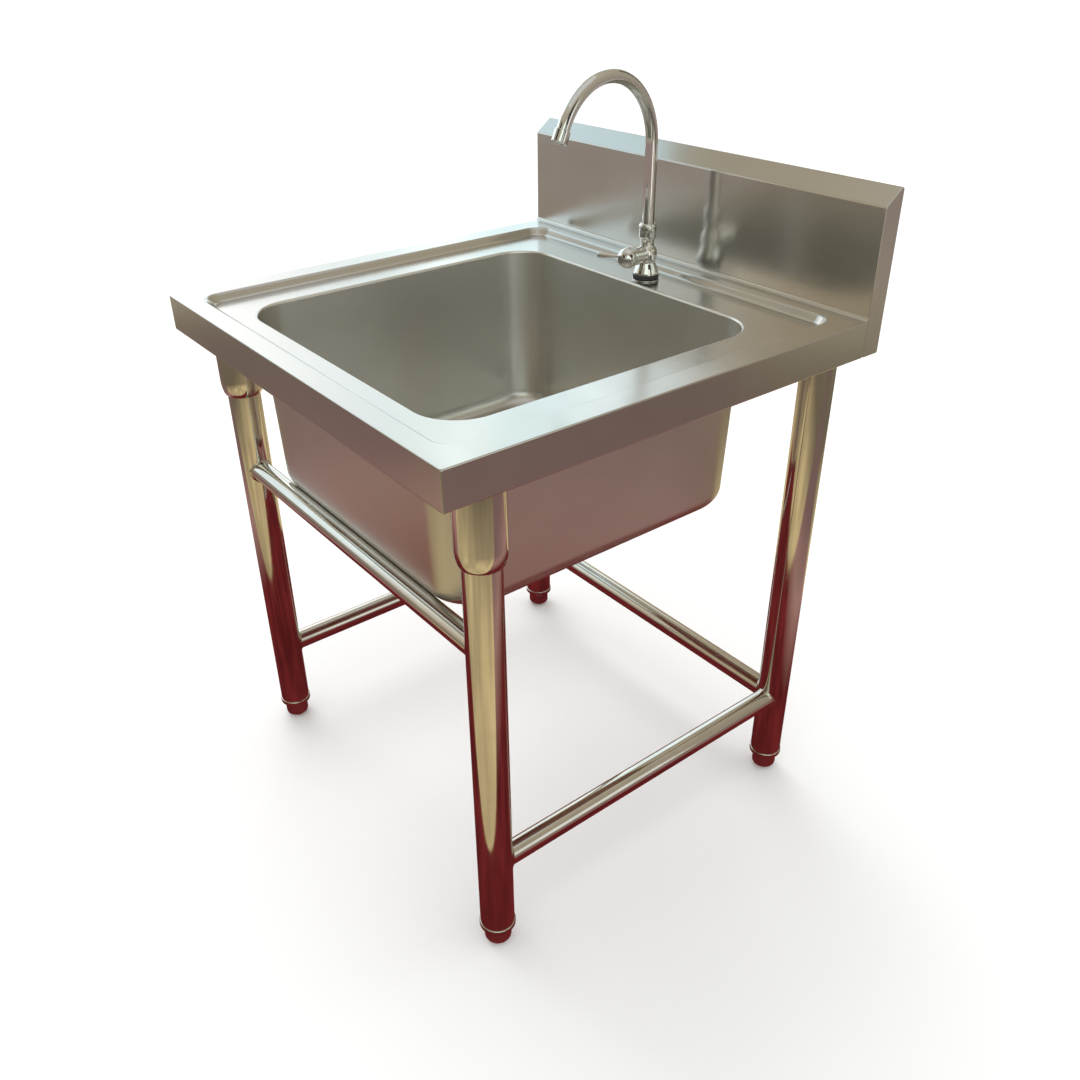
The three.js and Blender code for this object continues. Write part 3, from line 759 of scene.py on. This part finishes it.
def drain():
    """The drain's pieces; their heights count from the underside of the bowl's floor."""
    here = place_at(0, BOWL_CENTRE, BOWL_FLOOR)
    outside = [(17, -64), (20, -64, 0.5), (20, -42, 2), (36, -42, 3), (44, -34, 4), (44, 1.5)]
    flange = [(56, 1.5, 0.6), (54.5, 3.6, 1.6), (45.5, 3.9, 1.6), (42.5, 1.5, 1.2)]
    inside = [(42.5, -33, 5), (35, -40.5, 4), (17, -40.5, 1.5), (17, -64)]
    turned("drain_body", outside + flange + inside, upright_tube, here, 6)
    washers(here)
    hexagon_nut("drain_lock_nut", 112, -13, -4.8, 44.3, here)
    tail = [(17.4, -135), (19, -135, 0.6), (19, -68, 0.6), (22, -68), (22, -66)]
    turned("tailpiece", [*tail, (17.4, -66), (17.4, -135)], chrome, here, 5)
    tailpiece_nut(here)
    basket(here)
    stem = [(0, -34.7), (6, -34.7, 0.8), (6, -32.7, 0.8), (2.5, -31.7, 1), (2.5, -8.5, 1.5)]
    knob = [(7, -7.6, 2), (10, -3, 3), (7, 2.2, 3), (0, 3.5)]
    turned("strainer_knob", stem + knob, chrome, here, 6)


def hollow(node, inner, outer, bottom, top, material, place, edge=0.4):
    """A plain ring with eased outer edges, such as a gasket or a washer."""
    outside = [(inner, bottom), (outer, bottom, edge), (outer, top, edge)]
    turned(node, [*outside, (inner, top), (inner, bottom)], material, place, 4)


def washers(here):
    hollow("drain_gasket", 44.3, 56, -3.3, -0.3, rubber, here, 1.0)
    hollow("drain_washer", 44.3, 55, -4.5, -3.6, plastic, here, 0.3)
    hollow("tailpiece_gasket", 17.4, 22, -65.7, -64.3, rubber, here)


def hexagon_rings(shape, across, levels, bore, place):
    """Outside rings of a chamfered hexagon, then its bore, joined into one closed nut."""

    def hexagon_ring(limit, z):
        def spot(angle):
            off = (angle + math.pi / 6) % (math.pi / 3) - math.pi / 6
            radius = min(across / 2 / math.cos(off), limit)
            return radius * math.cos(angle), radius * math.sin(angle), z

        return add_ring(shape, place, spot)

    rings = [hexagon_ring(*level) for level in levels]
    rings += [add_circle(shape, place, bore, z) for z in (levels[-1][1], levels[0][1])]
    bridge(shape, rings, closed=True)


def chamfer_levels(across, bottom, top):
    """The (greatest radius, height) of each ring of a hexagon chamfered at both ends."""
    flat = across / 2
    corner = flat / math.cos(math.pi / 6)
    rise = (corner - flat) * 0.6
    steps = 5
    lower = [(flat + (corner - flat) * k / steps, bottom + rise * k / steps) for k in range(steps + 1)]
    upper = [(limit, bottom + top - z) for limit, z in reversed(lower)]
    return lower + upper


def hexagon_nut(node, across, bottom, top, bore, place):
    shape = bmesh.new()
    hexagon_rings(shape, across, chamfer_levels(across, bottom, top), bore, place)
    finish_piece(f"{node}_hexagon", to_mesh(node, shape), fixing, node, sharp=20)


def tailpiece_nut(here):
    shape = bmesh.new()
    across = 50
    hexagon_rings(shape, across, chamfer_levels(across, -70, -60), 22.4, here)
    collar = [(19.4, -70), (24, -70), (24, -68), (20.4, -68), (19.4, -68), (19.4, -70)]
    revolve(shape, filleted(collar, 3), here)
    crown = [(20.4, -62), (24, -62), (24, -50, 1.2), (20.4, -50), (20.4, -62)]
    revolve(shape, filleted(crown, 4), here)
    node = "tailpiece_nut"
    finish_piece(f"{node}_hexagon", to_mesh(node, shape), chrome, node, sharp=20)


def cut_through(shape, skin, openings):
    """Removes evenly spaced faces from a turned skin: each opening spans two radii or two heights
    of the skin, and repeats every so many sides for so many sides."""
    doomed = []
    shape.faces.ensure_lookup_table()
    for row, (low, high) in enumerate(zip(skin, skin[1:])):
        for span, (every, wide) in openings.items():
            if span in ((low[0], high[0]), (low[1], high[1])):
                row_faces = shape.faces[row * SIDES : (row + 1) * SIDES]
                doomed += [face for k, face in enumerate(row_faces) if k % every < wide]
    bmesh.ops.delete(shape, geom=doomed, context="FACES")


def basket(here):
    """A pressed strainer cup with long side slots and a ring of floor holes cut through it."""
    bottom = -35.5
    floor = [(radius, bottom) for radius in (8, 13, 17, 23, 28)]
    wall = [(37, bottom, 6), (37.1, -26), (37.4, -8), (37.5, -1.5, 1.5), (42.1, -1.5)]
    skin = filleted(floor + wall, steps=6)
    shape = bmesh.new()
    bridge(shape, [add_circle(shape, here, *point) for point in skin])
    cut_through(shape, skin, {(13, 17): (12, 5), (23, 28): (8, 4), (-26, -8): (8, 3)})
    mesh = to_mesh("strainer_basket", shape)
    piece = finish_piece("strainer_basket_cup", mesh, upright_tube, "strainer_basket")
    sheet = piece.modifiers.new("sheet", "SOLIDIFY")
    sheet.thickness = 1.0 * MM
    sheet.offset = -1.0
    sheet.use_even_offset = True


# ---- Tap ----

TAP = place_at(0, TAP_Y)
FORWARD = place_at(0, TAP_Y, VALVE_Z) @ Matrix.Rotation(math.pi / 2, 4, "X")
SPOUT_TURN = math.radians(8)
SPOUT_RADIUS = 8.9
SPOUT_WALL = 1.0
SPOUT_BEND = 97.0
SPOUT_BEND_Z = 961.0
SPOUT_SWEEP = math.radians(152)
SPOUT_TIP = 14.0
SPOUT_START = 824.5


def tap_body():
    """The cast body: shank, bell base, waist and riser, and the side valve's barrel."""
    shape = bmesh.new()
    shank = [(6.5, 712), (10, 712, 0.8), (10, 778), (18.9, 778, 0.6)]
    bell = [(18.8, 780.8, 1.4), (16.4, 787.5, 8), (12.4, 796, 6), (14.6, 800.5, 5)]
    riser = [(15.2, 808, 8), (14.4, 814.5, 5), (10.6, 819.0, 3), (10.2, 822, 0.5), (6.5, 822)]
    revolve(shape, filleted([*shank, *bell, *riser, (6.5, 712)], 8), TAP)
    barrel = [(0, 0), (12.0, 0), (12.6, 14, 30), (14.0, 30, 0.5), (9.3, 30), (9.3, 20), (0, 20)]
    revolve(shape, filleted(barrel, 6), FORWARD)
    node = "tap_body"
    finish_piece(f"{node}_cast", to_mesh(node, shape), chrome, node)


def spout_stations():
    """The tube's centre line, up and over: (reach forward, height, turn from upright)."""
    rise = SPOUT_BEND_Z - SPOUT_START
    bands = 8
    stations = [(0.0, SPOUT_START + rise * k / bands, 0.0) for k in range(bands)]
    steps = 72
    for k in range(steps + 1):
        turn = SPOUT_SWEEP * k / steps
        reach = SPOUT_BEND * (1 - math.cos(turn))
        stations.append((reach, SPOUT_BEND_Z + SPOUT_BEND * math.sin(turn), turn))
    reach, height, turn = stations[-1]
    tip = (reach + SPOUT_TIP * math.sin(turn), height + SPOUT_TIP * math.cos(turn), turn)
    return [*stations, tip]


def spout():
    """Makes the gooseneck tube, and returns the place of its tip."""
    stations = spout_stations()
    swing = TAP @ Matrix.Rotation(SPOUT_TURN, 4, "Z")
    shape = bmesh.new()

    def tube_ring(station, radius):
        reach, height, turn = station

        def spot(angle):
            out = radius * math.sin(angle)
            y = -reach - out * math.cos(turn)
            return radius * math.cos(angle), y, height - out * math.sin(turn)

        return add_ring(shape, swing, spot, 48)

    rings = [tube_ring(station, SPOUT_RADIUS) for station in stations]
    rings += [tube_ring(station, SPOUT_RADIUS - SPOUT_WALL) for station in reversed(stations)]
    bridge(shape, rings, closed=True)
    finish_piece("spout_tube", to_mesh("spout", shape), chrome, "spout", sharp=50)
    reach, height, turn = stations[-1]
    axis = Vector((0, -math.sin(turn), math.cos(turn)))
    tilt = Vector((0, 0, 1)).rotation_difference(axis).to_matrix().to_4x4()
    return swing @ place_at(0, -reach, height) @ tilt


def aerator(tip):
    bore = SPOUT_RADIUS + 0.1
    outside = [(bore, -9), (10.6, -9, 0.9), (10.6, 7, 0.9), (8.6, 7, 0.3), (8.6, 0.3)]
    turned("aerator_housing", [*outside, (bore, 0.3), (bore, -9)], chrome, tip, 5)


def spout_nut():
    """A domed nut with eight finger flutes cut into its lower half."""
    levels = [
        (10.6, 831.0, 0),
        (11.8, 831.2, 0),
        (12.5, 832.2, 1),
        (12.6, 834, 1),
        (12.6, 840.5, 1),
        (12.9, 842.4, 0),
        (13.2, 843.4, 0),
        (13.2, 848.6, 0),
        (12.8, 850.2, 0),
        (11.6, 851.6, 0),
        (10.2, 852.0, 0),
        (9.2, 852.0, 0),
        (9.2, 831.0, 0),
    ]
    flutes = 8
    depth = 1.3
    shape = bmesh.new()

    def fluted_ring(radius, z, cut):
        def spot(angle):
            flute = max(0.0, math.cos(flutes * angle)) ** 0.6 * depth * cut
            return (radius - flute) * math.cos(angle), (radius - flute) * math.sin(angle), z

        return add_ring(shape, TAP, spot, 128)

    bridge(shape, [fluted_ring(*level) for level in levels], closed=True)
    finish_piece("spout_nut_fluted", to_mesh("spout_nut", shape), chrome, "spout_nut", sharp=40)


def spout_joint():
    outside = [(7.2, 822.3), (10.2, 822.3, 0.4), (9.9, 826.0, 5), (11.6, 830.7, 0.5)]
    inside = [(9.4, 830.7), (9.4, 824.2), (7.2, 824.2), (7.2, 822.3)]
    turned("spout_collar", outside + inside, chrome, TAP, 5)
    spout_nut()
    hollow("spout_seal", 8.95, 9.35, 825, 828, rubber, TAP, 0.1)


def valve():
    """The side valve along its barrel's axis: bonnet, hub, cap, cartridge and lever."""
    bonnet = [(3.3, 30.3), (14.2, 30.3, 0.4), (14.5, 34.0, 0.4), (3.3, 34.0), (3.3, 30.3)]
    turned("valve_bonnet", bonnet, chrome, FORWARD, 4)
    outside = [(3.4, 34.3), (14.6, 34.3, 0.4), (15.4, 39.5, 8), (13.6, 45.6, 8), (10.6, 49.0, 4)]
    inside = [(9.3, 49.0, 0.2), (9.3, 42), (3.4, 42), (3.4, 34.3)]
    turned("handle_hub", outside + inside, chrome, FORWARD, 8)
    plug = [(0, 45.3), (9, 45.3), (9, 49.2), (10.5, 49.3, 0.2)]
    turned("handle_cap", [*plug, (9.6, 50.4, 2), (6.0, 52.2, 6), (0, 52.5)], chrome, FORWARD, 8)
    hollow("valve_cartridge", 3.3, 9, 12, 30, plastic, FORWARD)
    lever()


def lever():
    """A slim rod that flattens and widens into a rounded paddle at its end."""
    root = Vector((-9, 0, 39))
    along = Vector((-40, 0, 63)) - root
    slant = math.atan2(along.x, along.z)
    place = FORWARD @ place_at(*root) @ Matrix.Rotation(slant, 4, "Y")
    levels = [
        (0.0, 2.6, 2.6),
        (0.4, 2.6, 2.6),
        (0.52, 3.0, 2.8),
        (0.66, 3.9, 2.7),
        (0.82, 4.4, 2.5),
        (0.93, 4.0, 2.3),
        (0.98, 2.8, 1.6),
        (1.0, 1.0, 0.6),
    ]
    shape = bmesh.new()

    def oval_ring(t, wide, thick):
        def spot(angle):
            return thick * math.cos(angle), wide * math.sin(angle), t * along.length

        return add_ring(shape, place, spot, 32)

    rings = [oval_ring(*level) for level in levels]
    bridge(shape, rings)
    cap_off(shape, rings)
    piece = finish_piece("handle_lever_rod", to_mesh("lever", shape), chrome, "handle_lever", sharp=70)
    smooth = piece.modifiers.new("smooth", "SUBSURF")
    smooth.levels = smooth.render_levels = 2


def tap():
    hollow("tap_base_flange", 10.4, 20.4, 769.3, 770.8, chrome, TAP, 0.6)
    hollow("tap_base_gasket", 10.4, 19.3, 771.1, 777.7, rubber, TAP, 1.6)
    hollow("tap_mounting_washer", 10.4, 17, 764.7, 767.2, rubber, TAP)
    hexagon_nut("tap_back_nut", 30, 754.2, 764.4, 10.4, TAP)
    tap_body()
    spout_joint()
    valve()
    aerator(spout())


def dress_frame_nodes():
    """Gives the small CAD parts that stay in view a finish of their own."""
    kept = {"satin_steel": side_steel, "plated_fixings": fixing, "grey_plastic": plastic}
    for name, node in frame["nodes"].items():
        if node.hide_render:
            continue
        node.data.materials.clear()
        node.data.materials.append(kept.get(SLOTS[name], fixing))


# ---- Setting ----


def unlit(name, colour, strength=1.0):
    """A plain glowing surface, seen only in reflections."""
    material = bpy.data.materials.new(name)
    material.use_nodes = True
    tree = material.node_tree
    tree.nodes.remove(tree.nodes["Principled BSDF"])
    glow = tree.nodes.new("ShaderNodeEmission")
    glow.inputs["Color"].default_value = (*colour, 1.0)
    glow.inputs["Strength"].default_value = strength
    tree.links.new(glow.outputs["Emission"], tree.nodes["Material Output"].inputs["Surface"])
    return material


def grade(tree, value, stops):
    """Colours a glow by a value from 0 to 1: stops are (value, colour)."""
    ramp = tree.nodes.new("ShaderNodeValToRGB")
    while len(ramp.color_ramp.elements) < len(stops):
        ramp.color_ramp.elements.new(0.5)
    for element, (position, colour) in zip(ramp.color_ramp.elements, stops):
        element.position = position
        element.color = (*colour, 1.0)
    tree.links.new(value, ramp.inputs["Fac"])
    tree.links.new(ramp.outputs["Color"], tree.nodes["Emission"].inputs["Color"])


def patchy_glow(name, light, dark, scale):
    """A glow that wanders between two colours, like a floor seen in a reflection."""
    material = unlit(name, light)
    tree = material.node_tree
    place = tree.nodes.new("ShaderNodeNewGeometry")
    cloud = tree.nodes.new("ShaderNodeTexNoise")
    cloud.inputs["Scale"].default_value = scale
    cloud.inputs["Detail"].default_value = 4.0
    tree.links.new(place.outputs["Position"], cloud.inputs["Vector"])
    grade(tree, cloud.outputs["Fac"], [(0.38, dark), (0.62, light)])
    return material


def shade_by_distance(material, stops):
    """Turns a glow through further colours at set distances from the middle of the rug."""
    tree = material.node_tree
    glow = tree.nodes["Emission"]
    place = tree.nodes.new("ShaderNodeNewGeometry")
    length = tree.nodes.new("ShaderNodeVectorMath")
    length.operation = "DISTANCE"
    tree.links.new(place.outputs["Position"], length.inputs[0])
    length.inputs[1].default_value = (-0.08, -0.08, 0)
    for (start, _), (end, colour) in zip(stops, stops[1:]):
        near = glow.inputs["Color"].links[0].from_socket
        reach = tree.nodes.new("ShaderNodeMapRange")
        reach.inputs["From Min"].default_value = start
        reach.inputs["From Max"].default_value = end
        tree.links.new(length.outputs["Value"], reach.inputs["Value"])
        mix = tree.nodes.new("ShaderNodeMix")
        mix.data_type = "RGBA"
        tree.links.new(reach.outputs["Result"], mix.inputs["Factor"])
        tree.links.new(near, colour_socket(mix.inputs, "A"))
        colour_socket(mix.inputs, "B").default_value = (*colour, 1.0)
        tree.links.new(colour_socket(mix.outputs, "Result"), glow.inputs["Color"])


def reflection_only(card):
    for rays in ("camera", "diffuse", "shadow", "transmission", "volume_scatter"):
        setattr(card, f"visible_{rays}", False)
    return card


def staged(name, shape, material):
    """Puts a mesh in the scene as part of the setting."""
    mesh = bpy.data.meshes.new(name)
    shape.to_mesh(mesh)
    shape.free()
    mesh.materials.append(material)
    card = bpy.data.objects.new(name, mesh)
    bpy.context.scene.collection.objects.link(card)
    return card


def staged_plane(name, size, centre, turn, material):
    shape = bmesh.new()
    bmesh.ops.create_grid(shape, x_segments=1, y_segments=1, size=0.5)
    card = staged(name, shape, material)
    card.scale = (*size, 1)
    card.location = centre
    card.rotation_euler = turn
    return card


ROOM = Vector((0.0, 0.0, 0.6))


def heading(azimuth, elevation):
    """A direction `azimuth` degrees to the left of +Y and `elevation` degrees up."""
    a, e = math.radians(azimuth), math.radians(elevation)
    return Vector((-math.sin(a) * math.cos(e), math.cos(a) * math.cos(e), math.sin(e)))


def wall_card(name, azimuth, elevation, width, height, colour, strength, distance=5.0):
    """A glowing panel of that angular size, facing the sink, for the steel to reflect."""
    toward = heading(azimuth, elevation)
    wide = 2 * distance * math.tan(math.radians(width) / 2)
    high = 2 * distance * math.tan(math.radians(height) / 2)
    turn = (-toward).to_track_quat("Z", "Y").to_euler()
    material = unlit(name, colour, strength)
    card = staged_plane(name, (wide, high), ROOM + toward * distance, turn, material)
    return reflection_only(card)


def graded_card(name, azimuths, elevations, stops, strength):
    """A glowing panel whose colour changes from side to side: stops are (azimuth, colour)."""
    middle = sum(azimuths) / 2
    width = azimuths[1] - azimuths[0]
    height = elevations[1] - elevations[0]
    card = wall_card(name, middle, sum(elevations) / 2, width, height, (1, 1, 1), strength)
    tree = card.data.materials[0].node_tree
    place = tree.nodes.new("ShaderNodeTexCoord")
    split = tree.nodes.new("ShaderNodeSeparateXYZ")
    tree.links.new(place.outputs["Generated"], split.inputs["Vector"])
    full = 2 * math.tan(math.radians(width / 2))

    def across(azimuth):
        return 0.5 - math.tan(math.radians(azimuth - middle)) / full

    grade(tree, split.outputs["X"], [(across(azimuth), colour) for azimuth, colour in stops])
    return card


def dome(stops):
    """A far round wall whose colour changes with height: stops are (elevation, colour)."""
    radius = 8.0
    shape = bmesh.new()
    bmesh.ops.create_uvsphere(shape, u_segments=48, v_segments=24, radius=radius)
    material = unlit("room", (1, 1, 1))
    room = staged("room", shape, material)
    room.data.shade_smooth()
    room.location = ROOM
    tree = material.node_tree
    place = tree.nodes.new("ShaderNodeTexCoord")
    split = tree.nodes.new("ShaderNodeSeparateXYZ")
    tree.links.new(place.outputs["Object"], split.inputs["Vector"])
    rise = tree.nodes.new("ShaderNodeMapRange")
    rise.inputs["From Min"].default_value = -radius
    rise.inputs["From Max"].default_value = radius
    tree.links.new(split.outputs["Z"], rise.inputs["Value"])
    heights = [((1 + math.sin(math.radians(elevation))) / 2, colour) for elevation, colour in stops]
    grade(tree, rise.outputs["Result"], heights)
    return reflection_only(room)


def floor_material():
    light = (0.94, 0.94, 0.93)
    finish = Finish("studio_floor", 0.0, 0.9, light)
    clouds = finish.noise(1.2, detail=3.0)
    finish.surface(finish.blend(finish.spread(clouds, 0, 1), light, (0.92, 0.92, 0.91)))
    finish.shader.inputs["Specular IOR Level"].default_value = 0.1
    return finish.material


def sun(name, azimuth, elevation, spread, strength):
    lamp = bpy.data.lights.new(name, "SUN")
    lamp.energy = strength
    lamp.angle = math.radians(spread)
    holder = bpy.data.objects.new(name, lamp)
    holder.rotation_euler = heading(azimuth, elevation).to_track_quat("Z", "Y").to_euler()
    holder.visible_glossy = False
    bpy.context.scene.collection.objects.link(holder)


def studio():
    """The plain pale floor and soft light that the camera sees; the steel reflects neither."""
    world = bpy.data.worlds.new("studio")
    world.use_nodes = True
    background = world.node_tree.nodes["Background"]
    background.inputs["Color"].default_value = (0.98, 0.98, 0.98, 1)
    background.inputs["Strength"].default_value = 1.08
    world.cycles_visibility.glossy = False
    bpy.context.scene.world = world
    bpy.context.scene.view_settings.view_transform = "Standard"
    floor = staged_plane("studio_floor", (80, 80), (0, 0, -0.0005), (0, 0, 0), floor_material())
    floor.visible_glossy = False
    sun("soft_key", 80, 50, 40, 0.9)


def reflected_walls():
    """The room that the steel reflects: dim walls, windows, doorways and dark corners."""
    dome(
        [
            (-90, (0.20, 0.13, 0.11)),
            (-30, (0.34, 0.28, 0.23)),
            (-8, (0.36, 0.32, 0.255)),
            (0, (0.36, 0.325, 0.26)),
            (25, (0.40, 0.355, 0.265)),
            (50, (0.46, 0.41, 0.31)),
            (65, (0.54, 0.49, 0.39)),
            (90, (0.75, 0.74, 0.68)),
        ]
    )
    graded_card(
        "window_main",
        (28, 110),
        (-8, 37),
        [
            (104, (0.85, 0.88, 0.88)),
            (76, (1.0, 1.0, 1.0)),
            (68, (0.74, 0.79, 0.80)),
            (63, (0.68, 0.78, 0.80)),
            (58.5, (0.90, 1.0, 1.0)),
            (55, (0.62, 0.78, 0.81)),
            (49, (0.78, 0.90, 0.94)),
            (44, (0.60, 0.66, 0.67)),
            (40, (0.43, 0.40, 0.34)),
            (36, (0.36, 0.31, 0.24)),
            (31, (0.25, 0.205, 0.14)),
        ],
        1.6,
    )
    wall_card("window_upper", 94, 42, 34, 13, (0.74, 0.93, 1.0), 1.1)
    wall_card("doorway", -65, 12, 16, 22, (0.96, 0.97, 0.92), 1.0)
    wall_card("ceiling_panel", 0, 89.9, 50, 50, (1.0, 1.0, 0.96), 0.65)
    wall_card("window_behind", -125, 24, 36, 30, (0.85, 0.96, 0.86), 1.3)
    wall_card("bright_doorway", -97, 8, 18, 34, (1.0, 0.95, 0.84), 1.2, distance=3.5)
    wall_card("dark_wall_right", -90, 30, 26, 30, (0.05, 0.05, 0.05), 1.0)
    graded_card(
        "window_front",
        (108, 152),
        (2, 30),
        [
            (146, (0.34, 0.285, 0.19)),
            (140, (0.40, 0.335, 0.245)),
            (134, (0.50, 0.50, 0.46)),
            (128, (0.66, 0.78, 0.82)),
        ],
        1.6,
    )
    wall_card("dark_wall_front", 170, 25, 26, 40, (0.06, 0.055, 0.05), 1.0)
    wall_card("dark_wall_rear", 8, 20, 16, 30, (0.10, 0.09, 0.08), 1.0)


def reflected_ground():
    """The floorboards and the rug that the steel reflects, both a little askew to the sink."""
    boards = patchy_glow("boards", (0.79, 0.63, 0.34), (0.50, 0.40, 0.225), 1.6)
    shade_by_distance(
        boards,
        [
            (1.2, None),
            (1.8, (0.185, 0.146, 0.10)),
            (2.5, (0.22, 0.19, 0.135)),
            (3.0, (0.45, 0.40, 0.29)),
            (4.0, (0.32, 0.245, 0.225)),
        ],
    )
    rug = patchy_glow("rug", (0.20, 0.024, 0.026), (0.11, 0.014, 0.016), 5.0)
    shade_by_distance(
        rug,
        [
            (0.75, None),
            (1.05, (0.43, 0.245, 0.215)),
            (1.42, (0.25, 0.15, 0.145)),
            (2.1, (0.205, 0.15, 0.125)),
        ],
    )
    turn = math.radians(30)
    reflection_only(staged_plane("boards", (12, 12), (0, 0, -0.003), (0, 0, turn), boards))
    reflection_only(staged_plane("rug", (6.0, 1.2), (0.2, 0.115, -0.002), (0, 0, turn), rug))


add_camera()
deck()
bowl()
backsplash()
backsplash_end("left", -1)
backsplash_end("right", 1)
foot_fillet()
stand()
drain()
tap()
dress_frame_nodes()
studio()
reflected_walls()
reflected_ground()
